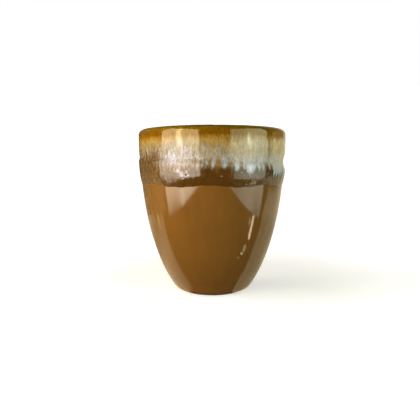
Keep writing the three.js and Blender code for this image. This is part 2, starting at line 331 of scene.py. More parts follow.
def quarter(steps):
    """Angles through a quarter turn."""
    return np.linspace(0, math.pi / 2, steps)


def round_the_mug(stations, angles):
    """Values at angles: eased from each station to the next, all the way round."""
    at = stations[:, 0]
    at = np.concatenate([[at[-1] - 360], at, [at[0] + 360]])
    rows = np.concatenate([stations[-1:, 1:], stations[:, 1:], stations[:1, 1:]])
    after = np.searchsorted(at, angles, side="right").clip(1, len(at) - 1)
    share = eased(angles, at[after - 1], at[after])[:, None]
    return (rows[after - 1] * (1 - share) + rows[after] * share).T


def ripples(angles, levels, kind):
    """A sum of sines of seeded phase, with whole numbers of waves round the mug, of about the size given."""
    size, least, most, climb, count, seed = kind
    draw = np.random.default_rng(seed)
    turns = draw.integers(least, most + 1, count)
    climbs = draw.uniform(-climb, climb, count)
    phases = draw.uniform(0, 2 * math.pi, count)
    total = 0
    for turn, rise, phase in zip(turns, climbs, phases):
        total = total + np.sin(turn * np.radians(angles) + rise * levels + phase)
    return size * total / math.sqrt(count)


def turned_mesh(name, r, z, sides, closed):
    """A mesh from radii and levels, a row for each step of the profile, joined round the axis: the profile
    closes on itself or ends in a pole at each end."""
    rows = len(r)
    angles = np.arange(sides) * 2 * math.pi / sides
    r, z = [np.broadcast_to(part.reshape(rows, -1), (rows, sides)) for part in (r, z)]
    points = np.stack([r * np.sin(angles), -r * np.cos(angles), z], axis=-1).reshape(-1, 3) * MM
    here = np.arange(rows * sides).reshape(rows, sides)
    ahead = np.roll(here, -1, axis=1)
    quads = np.stack([here, ahead, np.roll(ahead, -1, axis=0), np.roll(here, -1, axis=0)], axis=-1)
    faces = quads[:rows if closed else -1].reshape(-1, 4).tolist()
    if not closed:
        first, last = len(points), len(points) + 1
        under = np.stack([ahead[0], here[0], np.full(sides, first)], axis=-1)
        over = np.stack([here[-1], ahead[-1], np.full(sides, last)], axis=-1)
        faces += under.tolist() + over.tolist()
        poles = np.array([[0, 0, z[0, 0]], [0, 0, z[-1, 0]]]) * MM
        points = np.concatenate([points, poles])
    mesh = bpy.data.meshes.new(name)
    mesh.from_pydata(points, [], faces)
    mesh.update()
    mesh.shade_smooth()
    mesh.set_sharp_from_angle(angle=math.radians(SHARP_ANGLE))
    return mesh


def put(name, data):
    made = bpy.data.objects.new(name, data)
    bpy.context.scene.collection.objects.link(made)
    return made


def joined(stretches):
    """Radii and levels of a profile's stretches, end to end."""
    return [np.concatenate(part) for part in zip(*stretches)]


def add_piece(node, profile, sides, closed, material):
    """Turns a profile into the piece that stands for a node."""
    mesh = turned_mesh(node + "_shown", *profile, sides, closed)
    mesh.materials.append(material)
    piece = put(mesh.name, mesh)
    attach(piece, "root")
    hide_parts(node)
    return mesh


def note(mesh, name, values):
    """Keeps a value for each vertex, for the material to read."""
    attribute = mesh.attributes.new(name, "FLOAT", "POINT")
    attribute.data.foreach_set("value", np.ascontiguousarray(values, np.float32).ravel())


# Node helpers

def new_material(name):
    material = bpy.data.materials.new(name)
    material.use_nodes = True
    material.node_tree.nodes.clear()
    return material, material.node_tree


def is_socket(value):
    return isinstance(value, bpy.types.NodeSocket)


def tree_of(*values):
    """The node tree of the first socket among some values."""
    return next(value.id_data for value in values if is_socket(value))


def feed(socket, value):
    """Joins a socket to another, or sets its own value."""
    if is_socket(value):
        socket.id_data.links.new(value, socket)
    elif value is not None:
        socket.default_value = value


def step(tree, kind, inputs=(), **settings):
    """A shader node with its settings, and its inputs fed by place or name."""
    node = tree.nodes.new("ShaderNode" + kind)
    for key, value in settings.items():
        setattr(node, key, value)
    for key, value in dict(inputs).items():
        feed(node.inputs[key], value)
    return node


def calc(operation, *values):
    return step(tree_of(*values), "Math", enumerate(values), operation=operation).outputs[0]


def times(a, b):
    return calc("MULTIPLY", a, b)


def scaled(value, factor, added):
    """A value times a factor, with another added."""
    return calc("MULTIPLY_ADD", value, factor, added)


def swing(value):
    """How far a noise lies from its middle."""
    return calc("SUBTRACT", value, 0.5)


def ranged(value, given, wanted):
    """A value carried from one range to another, eased between and held outside."""
    inputs = zip(["Value", "From Min", "From Max", "To Min", "To Max"], [value, *given, *wanted])
    return step(tree_of(value), "MapRange", inputs, interpolation_type="SMOOTHSTEP").outputs[0]


def share_of(value, low, high):
    """0 below low and 1 above high, eased between; low may be the larger."""
    return ranged(value, (low, high), (0.0, 1.0))


def blend(share, a, b, way="MIX"):
    """Colour a changing to colour b."""
    node = step(tree_of(share, a, b), "Mix", data_type="RGBA", blend_type=way)
    colours = [socket for socket in node.inputs if socket.type == "RGBA"]
    for socket, value in zip([node.inputs["Factor"], *colours], [share, a, b]):
        feed(socket, value)
    return [socket for socket in node.outputs if socket.type == "RGBA"][0]


def tones(value, stops):
    """A colour that changes along a value: stops are pairs of a value, from 0, and its colour."""
    span = stops[-1][0]
    ramp = step(tree_of(value), "ValToRGB", {"Fac": calc("DIVIDE", value, span)})
    elements = ramp.color_ramp.elements
    while len(elements) < len(stops):
        elements.new(1.0)
    for element, (at, colour) in zip(elements, stops):
        element.position = at / span
        element.color = colour
    return ramp.outputs["Color"]


def noise(vector, scale, detail=2.0, roughness=0.5):
    inputs = {"Vector": vector, "Scale": scale, "Detail": detail, "Roughness": roughness}
    return step(tree_of(vector), "TexNoise", inputs).outputs["Fac"]


def place_on_piece(tree, squash=1.0):
    """Object coordinates in millimetres, squashed along the mug's axis."""
    coordinates = step(tree, "TexCoord").outputs["Object"]
    scale = (1 / MM, 1 / MM, squash / MM)
    return step(tree, "Mapping", {"Vector": coordinates, "Scale": scale}).outputs[0]


def kept(tree, name):
    """A value that the mesh keeps for each vertex."""
    return step(tree, "Attribute", attribute_name=name).outputs["Fac"]


def rgb(r, g, b):
    return (r, g, b, 1.0)


SPECK_SOFTNESS = 0.06


def speckle_group():
    """Specks: a mask of spots where fine noise rises above a limit."""
    group = bpy.data.node_groups.new("iron specks", "ShaderNodeTree")
    group.interface.new_socket("Mask", in_out="OUTPUT", socket_type="NodeSocketFloat")
    for name, kind in [("Place", "Vector"), ("Scale", "Float"), ("Limit", "Float")]:
        group.interface.new_socket(name, in_out="INPUT", socket_type="NodeSocket" + kind)
    given = group.nodes.new("NodeGroupInput").outputs
    fine = noise(given["Place"], given["Scale"], 1.0, 0.4)
    over = calc("SUBTRACT", fine, given["Limit"])
    mask = share_of(over, 0.0, SPECK_SOFTNESS)
    feed(group.nodes.new("NodeGroupOutput").inputs["Mask"], mask)
    return group


def specks(group, place, scale, limit):
    inputs = {"Place": place, "Scale": scale, "Limit": limit}
    return step(tree_of(place), "Group", inputs, node_tree=group).outputs["Mask"]


def end_in(material, shader):
    feed(step(material.node_tree, "OutputMaterial").inputs["Surface"], shader)
    return material


GLAZE_IOR = 1.6
CLAY_IOR = 1.5
BUMP_REACH = 0.0003


def finish_surface(material, colour, roughness, height, bump, ior, mirror_tint=None):
    """Ends a material in one shader, with a bump from a height and a tint for what it mirrors."""
    tree = material.node_tree
    inputs = {"Base Color": colour, "Roughness": roughness, "IOR": ior, "Specular Tint": mirror_tint}
    shader = step(tree, "BsdfPrincipled", inputs)
    inputs = {"Height": height, "Strength": bump, "Distance": BUMP_REACH}
    feed(shader.inputs["Normal"], step(tree, "Bump", inputs).outputs[0])
    return end_in(material, shader.outputs[0])


# Specks: scale and limit
IRON_SPECKS = (2.2, 0.66)
SAND_SPECKS = (1.4, 0.63)
CRYSTAL_SPECKS = (1.05, 0.59)
PIT_SPECKS = (1.3, 0.60)
LIGHT_SPECKS = (1.05, 0.58)

BODY_BROWN = rgb(0.176, 0.077, 0.0125)
IRON_BROWN = rgb(0.06, 0.025, 0.004)
# Painted light over the heel: the levels where the glaze is painted lighter, and by how much
HEEL_ZONE = (HEEL_HEIGHT - 1, HEEL_HEIGHT + 5)
HEEL_PAINTED_LIGHT = 1.22


def brown_glaze(name, group):
    """Even brown gloss with painted light that makes it lighter over the heel, with clouding, faint vertical
    flow and fine darker specks.
    """
    material, tree = new_material(name)
    place = place_on_piece(tree)
    flow = noise(place_on_piece(tree, 0.12), 0.25, 2.0)
    cloud = noise(place, 0.06, 3.0)
    tone = scaled(calc("ADD", flow, cloud), 0.22, 0.78)
    level = step(tree, "SeparateXYZ", {0: place}).outputs["Z"]
    # painted light: lighter over the heel
    tone = times(tone, ranged(level, HEEL_ZONE, (HEEL_PAINTED_LIGHT, 1.0)))
    colour = blend(1.0, BODY_BROWN, tone, "MULTIPLY")
    dark = specks(group, place, *IRON_SPECKS)
    colour = blend(times(dark, 0.12), colour, IRON_BROWN)
    roughness = scaled(cloud, 0.05, 0.05)
    ripple = noise(place, 0.35, 1.0)
    return finish_surface(material, colour, roughness, ripple, 0.015, GLAZE_IOR)


LIP_OLIVE = rgb(0.195, 0.110, 0.002)
AMBER = rgb(0.178, 0.073, 0.0008)
DEEP_HONEY = rgb(0.262, 0.138, 0.009)
HONEY = rgb(0.330, 0.205, 0.042)
KHAKI = rgb(0.285, 0.194, 0.060)
PALE_KHAKI = rgb(0.285, 0.221, 0.112)
STONE = rgb(0.320, 0.266, 0.172)
CREAM = rgb(0.560, 0.435, 0.235)
PEARL = rgb(0.500, 0.460, 0.420)
TAN_GREY = rgb(0.230, 0.186, 0.130)
MAUVE_GREY = rgb(0.242, 0.212, 0.245)
LILAC = rgb(0.345, 0.325, 0.450)
CRYSTAL_WHITE = rgb(0.540, 0.500, 0.470)
PIT_BROWN = rgb(0.110, 0.070, 0.020)
TEAL = rgb(0.235, 0.330, 0.360)
ICE = rgb(0.570, 0.665, 0.820)
RUST = rgb(0.290, 0.125, 0.025)
GAP_TAN = rgb(0.265, 0.185, 0.090)
CHOCOLATE = rgb(0.080, 0.033, 0.0032)
MID_BROWN = rgb(0.108, 0.053, 0.014)
GAP_BROWN = rgb(0.150, 0.095, 0.035)
# pale mauve of streaks in the glaze, also used for painted glints, painted reflections and the pinhole's
# ring of painted highlight
MAUVE_WHITE_AND_GLINT = rgb(0.440, 0.410, 0.520)
# painted shade: near black inside the pinhole's pit
HOLE_SHADE_BROWN = rgb(0.020, 0.010, 0.002)
BAND_TONES = [
    (0.0, LIP_OLIVE), (1.6, LIP_OLIVE), (2.6, AMBER), (4.6, AMBER), (6.0, DEEP_HONEY), (8.2, HONEY),
    (11.0, KHAKI), (13.5, PALE_KHAKI), (16.0, STONE), (30.0, STONE),
]
AMBER_MIRROR = rgb(1.0, 0.89, 0.54)
CLEAR_MIRROR = rgb(1.0, 1.0, 1.0)

# Zones of the running glaze: drops at which something begins and is full, or is full and ends
STRAY_ZONE = (2.5, 9.0)
MILK_ZONE = (5.0, 9.0)
PEARL_ZONE = (13.0, 19.0)
HAZE_ZONE = (7.5, 11.0)
MAUVE_ZONE = (13.0, 18.0)
LILAC_ZONE = (9.0, 13.0)
CRYSTAL_ZONE = (7.0, 11.0)
PIT_ZONE = (3.0, 10.0)
BEAD_ZONE = (19.0, 23.0)
LIP_ZONE = (7.0, 4.0)
RELIEF_ZONE = (8.0, 15.0)
SMOOTH_ZONE = (19.0, 22.0)
CLEAR_ZONE = (4.0, 7.5)

# The pinhole: distances from its middle at which the ring of painted highlight round its rim and the painted
# shade in the hole end and are full
GLINT_RING_REACH = (1.5, 0.9)
SHADED_HOLE_REACH = (0.8, 0.4)


def running_glaze(group):
    """Olive and amber at the lip, then honey and khaki with milky streaks, fingers that end pale blue, tan
    and rust between them, and dark brown in the bead, with painted glints and reflections on it; a pinhole
    painted dark in a ring of painted highlight."""
    material, tree = new_material("running glaze")
    place = place_on_piece(tree)
    blotch = noise(place_on_piece(tree, 0.45), 0.33, 2.0)
    cloud = noise(place_on_piece(tree, 0.40), 0.30, 3.0, 0.6)
    fine_streak = noise(place_on_piece(tree, 0.40), 1.15, 3.0, 0.6)
    mottle = noise(place, 0.9, 3.0)
    grain = noise(place, 2.4, 1.0)
    drop = kept(tree, "drop")
    fine_swing = swing(fine_streak)
    mottle_swing = swing(mottle)

    stray = scaled(fine_swing, 4.0, times(swing(blotch), 8.0))
    stray = times(stray, share_of(drop, *STRAY_ZONE))
    wander = calc("ADD", drop, stray)
    colour = tones(wander, BAND_TONES)

    patches = share_of(scaled(fine_swing, 0.45, cloud), 0.36, 0.64)
    milky = times(scaled(patches, 0.45, 0.55), kept(tree, "milk"))
    milky = times(milky, share_of(wander, *MILK_ZONE))
    milk = blend(share_of(wander, *PEARL_ZONE), CREAM, PEARL)
    colour = blend(milky, colour, milk)

    haze = kept(tree, "haze")
    hazy = blend(share_of(wander, *MAUVE_ZONE), TAN_GREY, MAUVE_GREY)
    colour = blend(times(haze, share_of(wander, *HAZE_ZONE)), colour, hazy)
    streak = noise(place_on_piece(tree, 0.28), 0.62, 2.0)
    lilac = share_of(scaled(fine_swing, 0.35, streak), 0.48, 0.62)
    lilac = times(times(lilac, haze), share_of(wander, *LILAC_ZONE))
    colour = blend(lilac, colour, LILAC)
    crystals = specks(group, place_on_piece(tree, 0.6), *CRYSTAL_SPECKS)
    crystals = times(crystals, scaled(haze, 0.4, 0.1))
    crystals = times(crystals, share_of(drop, *CRYSTAL_ZONE))
    colour = blend(crystals, colour, CRYSTAL_WHITE)
    pits = specks(group, place_on_piece(tree, 0.5), *PIT_SPECKS)
    pits = times(pits, scaled(haze, 0.3, 0.08))
    pits = times(pits, share_of(drop, *PIT_ZONE))
    colour = blend(pits, colour, PIT_BROWN)
    colour = blend(kept(tree, "dark"), colour, GAP_BROWN)

    jag = scaled(fine_swing, 3.2, kept(tree, "edge"))
    jag = scaled(mottle_swing, 2.2, jag)
    tips = share_of(scaled(fine_swing, 1.0, kept(tree, "blue")), 0.15, 1.1)
    colour = blend(tips, colour, blend(kept(tree, "bright"), TEAL, ICE))

    thin = kept(tree, "thin")
    between = blend(share_of(drop, *BEAD_ZONE), GAP_TAN, CHOCOLATE)
    below = blend(thin, between, MID_BROWN)
    light = specks(group, place_on_piece(tree, 0.6), *LIGHT_SPECKS)
    light = times(light, scaled(thin, 0.32, 0.03))
    below = blend(light, below, KHAKI)
    colour = blend(share_of(jag, 2.0, -1.3), colour, below)
    colour = blend(kept(tree, "rust"), colour, RUST)

    # pale streaks in the glaze, with painted glints and painted reflections on the bead, from the pale dabs
    rough_dab_and_glint = scaled(mottle_swing, 1.2, kept(tree, "dab"))
    dab = times(share_of(rough_dab_and_glint, 0.1, 0.7), kept(tree, "dab"))
    colour = blend(dab, colour, MAUVE_WHITE_AND_GLINT)
    shade = scaled(share_of(fine_streak, 0.30, 0.70), 0.32, -0.16)
    shade = scaled(mottle_swing, 0.35, shade)
    shade = scaled(swing(grain), 0.2, shade)
    depth = scaled(share_of(drop, *LIP_ZONE), 0.8, 0.6)
    shade = scaled(shade, scaled(haze, 0.6, depth), 1.0)
    colour = blend(1.0, colour, shade, "MULTIPLY")

    # the pinhole: a ring of painted highlight round its rim, and painted shade in its pit
    ragged = scaled(mottle_swing, 1.4, kept(tree, "pinhole"))
    ring = times(share_of(ragged, *GLINT_RING_REACH), 0.55)
    colour = blend(ring, colour, MAUVE_WHITE_AND_GLINT)
    colour = blend(share_of(kept(tree, "pinhole"), *SHADED_HOLE_REACH), colour, HOLE_SHADE_BROWN)

    roughness = scaled(mottle, 0.08, 0.05)
    relief = calc("ADD", calc("ADD", fine_streak, mottle), times(grain, 0.6))
    relief = times(relief, share_of(drop, *RELIEF_ZONE))
    relief = times(relief, ranged(drop, SMOOTH_ZONE, (1.0, 0.3)))
    mirror_tint = blend(share_of(drop, *CLEAR_ZONE), AMBER_MIRROR, CLEAR_MIRROR)
    return finish_surface(material, colour, roughness, relief, 0.5, GLAZE_IOR, mirror_tint)


DARK_BUFF = rgb(0.36, 0.25, 0.16)
PALE_BUFF = rgb(0.56, 0.44, 0.31)
SAND_BROWN = rgb(0.12, 0.06, 0.03)


def bare_clay(group):
    """Buff stoneware with sand in it."""
    material, tree = new_material("bare stoneware")
    place = place_on_piece(tree)
    grain = noise(place, 3.0, 4.0, 0.65)
    colour = blend(grain, DARK_BUFF, PALE_BUFF)
    dark = specks(group, place, *SAND_SPECKS)
    colour = blend(times(dark, 0.6), colour, SAND_BROWN)
    roughness = scaled(grain, 0.2, 0.72)
    return finish_surface(material, colour, roughness, grain, 0.4, CLAY_IOR)


# Pieces

def clay_body(material):
    """The clay: recess, foot ring, heel, wall, lip, inside wall, well and floor along one profile."""
    flat_end = RECESS_RADIUS - RECESS_CORNER[0]
    slant_start = (RECESS_RADIUS, RECESS_DEPTH - RECESS_CORNER[1])
    turn = quarter(5)
    inner = (RING_INNER + FOOT_BEVEL * (1 - np.cos(turn)), FOOT_BEVEL * (1 - np.sin(turn)))
    outer = (FOOT_RADIUS - FOOT_BEVEL * (1 - np.sin(turn)), FOOT_BEVEL * (1 - np.cos(turn)))
    side = np.linspace(FOOT_BEVEL, FOOT_HEIGHT, 4)[1:-1]
    above_foot = np.concatenate([
        heel(np.linspace(0, 1, 12)),
        outside(np.linspace(HEEL_HEIGHT, LIP_START, 40)[1:-1]),
        lip(np.linspace(-1, 1, 17)),
        inside(np.linspace(INSIDE_START, WELL_TOP, 36)[1:]),
        well(np.linspace(0, 1, 14)[1:]),
    ])
    profile = joined([
        ((*RECESS_RINGS, flat_end), np.full(3, RECESS_DEPTH)),
        np.linspace(slant_start, (RING_INNER, FOOT_BEVEL), 6).T,
        np.array(inner)[:, 1:],
        outer,
        (np.full(len(side), FOOT_RADIUS), side),
        lifted(above_foot, 0),
        (POLE_RINGS, np.full(2, FLOOR_TOP)),
    ])
    add_piece("clay_body", profile, CLAY_SIDES, False, material)


def outside_coat(material):
    """The outside coat: heel and wall lifted by the coat, a little unevenly, with a rolled edge beside the
    foot ring and a taper under the running glaze."""
    heel_share = np.linspace(0, 1, 60)
    from_ring = np.interp(FOOT_RADIUS + BARE_MARGIN, heel(heel_share)[:, 0], heel_share)
    places = np.concatenate([
        heel(np.linspace(from_ring, 1, 20)),
        outside(np.linspace(HEEL_HEIGHT, BASE_TOP, 70)[1:]),
    ])
    run = np.hypot(np.diff(places[:, 0], prepend=places[0, 0]), np.diff(places[:, 1], prepend=places[0, 1]))
    rolled = np.sqrt(1 - (1 - np.clip(np.cumsum(run) / ROLLED_EDGE, 0, 1)) ** 2)
    taper = np.clip((BASE_TOP - places[:, 1]) / LAP_TAPER, 0, 1)
    angles = np.arange(COAT_SIDES) * 360 / COAT_SIDES
    uneven = ripples(angles[None], places[:, 1:2], COAT_RIPPLES)
    over = BOND + (BASE_COAT + uneven) * rolled[:, None] * taper[:, None]
    under = np.full((1, COAT_SIDES), BOND)
    profile = joined([lifted(places[:, None], over), lifted(places[::-1][4:-4:8, None], under)])
    add_piece("outside_glaze", profile, COAT_SIDES, True, material)


def liner_coat(material):
    """The liner: floor, well and inside wall lifted by the coat, tapered under the running glaze."""
    places = np.concatenate([
        inside(np.linspace(LINER_TOP, WELL_TOP, 50)[:-1]),
        well(np.linspace(0, 1, 20)),
        spots(np.array(POLE_RINGS), FLOOR_TOP, 0, 1),
    ])
    taper = np.clip((LINER_TOP - places[:, 1]) / LAP_TAPER, 0, 1)
    profile = joined([lifted(places[::-1][:-2:6], BOND), lifted(places, BOND + LINER_COAT * taper)])
    add_piece("liner_glaze", profile, COAT_SIDES, False, material)


def recess_coat(material):
    """The recess coat: a disc of glaze under the floor with a rounded edge."""
    top = RECESS_DEPTH - BOND
    edge = RECESS_RADIUS - BARE_MARGIN
    turn = quarter(8)
    r = np.concatenate([np.linspace(2, edge - 2, 8), edge - RECESS_COAT * (1 - np.sin(turn)), [6.0, 2.0]])
    z = np.concatenate([np.full(8, top - RECESS_COAT), top - RECESS_COAT * np.cos(turn), [top, top]])
    add_piece("foot_recess_glaze", (r, z), RECESS_SIDES, False, material)


def lap(z, coat_top, coat):
    """How far the running glaze's underside lies off the clay: rising on to the coat that it laps over."""
    return BOND + np.clip((coat_top - z) / LAP_TAPER, 0, 1) * (coat + BOND)


def fingers():
    """The fingers at the front, and seeded ones round the rest of the mug in the same columns."""
    draw = np.random.default_rng(FINGER_SEED)
    centres = np.arange(FINGERS_FROM, FINGERS_TO, FINGER_SPACING)
    count = len(centres)
    centres = centres + draw.uniform(*FINGER_SHIFTS, count)
    halves = draw.uniform(*FINGER_HALVES, count)
    gap_end, _, _, _, blue, _ = round_the_mug(PALE_STATIONS, np.where(centres > 180, centres - 360, centres))
    ends = gap_end + draw.uniform(*FINGER_LENGTHS, count)
    leans = draw.uniform(*FINGER_LEANS, count)
    bright = draw.uniform(*FINGER_BRIGHTS, count)
    return np.concatenate([FRONT_FINGERS, np.stack([centres, halves, ends, leans, blue, bright], axis=-1)])


def pale_edge(angles, drops, gap_end):
    """Height above the end of the pale glaze, with how blue and bright it ends there. A finger's end is a
    blunt curve that falls by FINGER_ROUND at the half width, and its middle leans; the longest finger at a
    place counts. The blue fades in above the end and out across as a bell."""
    edge = gap_end - drops
    blue = np.zeros_like(edge)
    bright = np.zeros_like(edge)
    for centre, half, end, lean, tint, light in fingers():
        across = (angles - centre - lean * (drops - end) + 180) % 360 - 180
        share = (across / half) ** 2
        edge = np.maximum(edge, end - FINGER_ROUND * share ** 1.5 - drops)
        near_end = tint * np.exp(-BLUE_NARROW * share) * ease((drops - end + BLUE_ABOVE) / BLUE_FADE)
        bright = np.where(near_end > blue, light, bright)
        blue = np.maximum(blue, near_end)
    return edge, blue, bright


def away_from(angles, drops, angle, drop):
    """How far places lie from one place on the band, round the mug and down it."""
    round_it = np.radians((angles - angle + 180) % 360 - 180) * CLAY_RIM
    return round_it, drops - drop


def from_pinhole(angles, drops):
    return np.hypot(*away_from(angles, drops, PINHOLE_ANGLE, PINHOLE_DROP))


def dabbed(angles, drops, dabs):
    """Strength of the strongest dab: each fades from its middle as a bell, wider one way than the other."""
    total = np.zeros_like(drops)
    for angle, drop, half_width, half_height, strength in dabs:
        across, down = away_from(angles, drops, angle, drop)
        bell = strength * np.exp(-(across / half_width) ** 2 - (down / half_height) ** 2)
        total = np.maximum(total, bell)
    return total


def run_outside(angles):
    """The running glaze outside, from its edge to the lip: levels, heights off the clay, the edge's level.
    The nose's level goes by a cosine, its height partly by a sine, partly by one less a power of the cosine.
    Bead, waist and rim ease into one another; ripples and the pinhole are added."""
    waist_drop, waist, shoulder_drop, bead, nose_drop, edge_drop = round_the_mug(RUN_STATIONS, angles)
    edge = HEIGHT - edge_drop + ripples(angles, 0, EDGE_RIPPLES)
    nose_top = HEIGHT - np.maximum(nose_drop, shoulder_drop + LEAST_BEAD)

    turn = quarter(22)[:, None]
    nose_z = nose_top - (nose_top - edge) * np.cos(turn)
    edge_lift = lap(edge, BASE_TOP, BASE_COAT)
    nose_share = NOSE_ROUND * np.sin(turn) + (1 - NOSE_ROUND) * (1 - np.cos(turn) ** NOSE_CORNER)
    nose_lift = edge_lift + (BOND + bead - edge_lift) * nose_share

    wall_z = nose_top + (LIP_START - nose_top) * np.linspace(0, 1, 76)[1:-1, None]
    drop = HEIGHT - wall_z
    rim = RIM_COAT + (waist - RIM_COAT) * eased(drop, RIM_COAT_ENDS, waist_drop)
    wall_lift = BOND + rim + (bead - rim) * eased(drop, waist_drop, shoulder_drop)

    z = np.concatenate([nose_z, wall_z])
    lift = np.concatenate([nose_lift, wall_lift])
    free = ease((z - edge) / RIPPLES_START) * ease((LIP_START - RIPPLES_END - z) / RIPPLES_FADE)
    lift = lift + free * ripples(angles, z, STREAK_RIPPLES)
    lift = lift + free * ripples(angles, z, SWELL_RIPPLES)
    pit = PINHOLE_DEPTH * np.exp(-(from_pinhole(angles, HEIGHT - z) / PINHOLE_RADIUS) ** 2)
    return z, lift - pit, edge


def run_inside(angles):
    """The running glaze inside, from the lip to its edge, in the same measures: it settles from the crest's
    coat to one that ends in a quarter-ellipse nose."""
    edge = INSIDE_EDGE + ripples(angles, 0, INSIDE_RIPPLES)
    z = INSIDE_START + (edge - INSIDE_START) * np.linspace(0, 1, 18)[1:, None]
    nose = np.sqrt(1 - (1 - np.clip((z - edge) / INSIDE_NOSE, 0, 1)) ** 2)
    settled = lap(edge, LINER_TOP, LINER_COAT) + INSIDE_COAT * nose
    return z, BOND + CREST_COAT + (settled - BOND - CREST_COAT) * eased(z, INSIDE_START, LINER_TOP), edge


def note_tones(mesh, angles, drops):
    """Keeps for each vertex what the running glaze's material reads."""
    gap_end, fade, milk, haze, _, thin = round_the_mug(PALE_STATIONS, angles)
    above_end, blue, bright = pale_edge(angles, drops, gap_end + ripples(angles, 0, GAP_RIPPLES))
    values = {
        "drop": drops, "edge": above_end / fade, "blue": blue, "bright": bright,
        "milk": milk, "haze": haze, "thin": thin,
        # pale streaks, and painted glints and painted reflections on the bead
        "dab": dabbed(angles, drops, PALE_DABS_AND_GLINTS),
        "rust": dabbed(angles, drops, RUST_DABS),
        "dark": dabbed(angles, drops, DARK_DABS),
        "pinhole": from_pinhole(angles, drops),
    }
    for name, value in values.items():
        note(mesh, name, np.broadcast_to(value, drops.shape))


def running_coat(material):
    """The running glaze: up the outside, over the lip, down the inside and back along its underside."""
    angles = np.arange(BAND_SIDES) * 360 / BAND_SIDES
    angles = np.where(angles > 180, angles - 360, angles)
    out_z, out_lift, edge = run_outside(angles)
    in_z, in_lift, inner_edge = run_inside(angles)
    turn = np.linspace(-1, 1, 17)[:, None]
    back_turn = turn[14:1:-4]
    lip_lift = BOND + CREST_COAT + (RIM_COAT - CREST_COAT) * ease(-turn)
    back_in = inner_edge + (INSIDE_START - inner_edge) * np.linspace(0, 1, 6)[1:, None]
    back_out = LIP_START + (edge - LIP_START) * np.linspace(0, 1, 10)[:-1, None]
    places = [
        (outside(out_z), out_lift),
        (lip(turn), np.broadcast_to(lip_lift, (len(turn), BAND_SIDES))),
        (inside(in_z), in_lift),
        (inside(back_in), lap(back_in, LINER_TOP, LINER_COAT)),
        (lip(back_turn), np.full((len(back_turn), BAND_SIDES), BOND)),
        (outside(back_out), lap(back_out, BASE_TOP, BASE_COAT)),
    ]
    r, z = joined(np.broadcast_arrays(*lifted(place, lift)) for place, lift in places)
    mesh = add_piece("running_rim_glaze", (r, z), BAND_SIDES, True, material)
    drops = HEIGHT - z
    past_crest = len(out_z) + len(turn) // 2 + 1
    drops[past_crest:] *= INSIDE_STRETCH
    note_tones(mesh, angles, drops)


iron = speckle_group()
clay_body(bare_clay(iron))
outside_coat(brown_glaze("brown glaze", iron))
liner_coat(brown_glaze("liner glaze", iron))
recess_coat(brown_glaze("recess glaze", iron))
running_coat(running_glaze(iron))


# Studio

# Board under the mug, as the glaze mirrors it: its front edge from left to right, cut back under the heel
BOARD_FRONT = [
    (-0.175, -0.012), (-0.15, -0.015), (-0.10, -0.018), (-0.054, -0.0225), (-0.023, -0.023),
    (-0.016, -0.0215), (-0.010, -0.010), (0.009, -0.010), (0.013, -0.0195), (0.024, -0.023),
    (0.071, -0.0235), (0.112, -0.016), (0.151, -0.0145), (0.189, -0.006), (0.225, 0.004), (0.309, 0.032),
    (0.9, 0.23),
]
FLOOR_HALF = 0.9
SWEEP_HALF = 1.6
FLOOR_FRONT = -0.9
BACK_AT = 0.38
BACK_BEND = 0.18
BACK_TOP = 0.8
OVER_BOARD = 0.0001
UNDER_BOARD = 0.0004

# Papers: tint; how far the camera sees them lifted to white near the mug and away from it; share of their
# own light that mirrors; glow that mirrors at the back on the left, low and high up
BOARD_PAPER = ((0.85, 0.84, 0.78), (0.55, 1.0), 1.0, (0.20, 0.0))
SEEN_PAPER = ((0.36, 0.36, 0.36), (0.8, 1.0), 1.0, (0.20, 0.0))
DIM_PAPER = ((0.24, 0.19, 0.12), (1.0, 1.0), 0.0, (0.30, 0.10))

# What mirrors in the glaze: tints, strengths, and where along the floor and up the back they change
SHADOW_REACH = (0.05, 0.2)
MIRROR_TINT = (1.0, 0.88, 0.58)
MIRROR_WARMTH = (1.0, 0.95, 0.82)
LEFT_MIRROR = 0.33
LEFT_MIRROR_START = (-0.025, -0.010)
LEFT_MIRROR_END = (0.04, 0.005)
BACK_MIRROR_START = (0.12, 0.2)
BACK_MIRROR_LEVELS = (0.01, 0.06)
RIGHT_MIRROR = (0.38, 0.68)
RIGHT_MIRROR_RISE = (0.11, 0.2)
RIGHT_MIRROR_FALL = (0.30, 0.45)
RIGHT_MIRROR_FAR = 0.2
LEFT_TO_RIGHT = (-0.01, 0.01)


def emission(colour, strength):
    return step(tree_of(strength), "Emission", {"Color": rgb(*colour), "Strength": strength}).outputs[0]


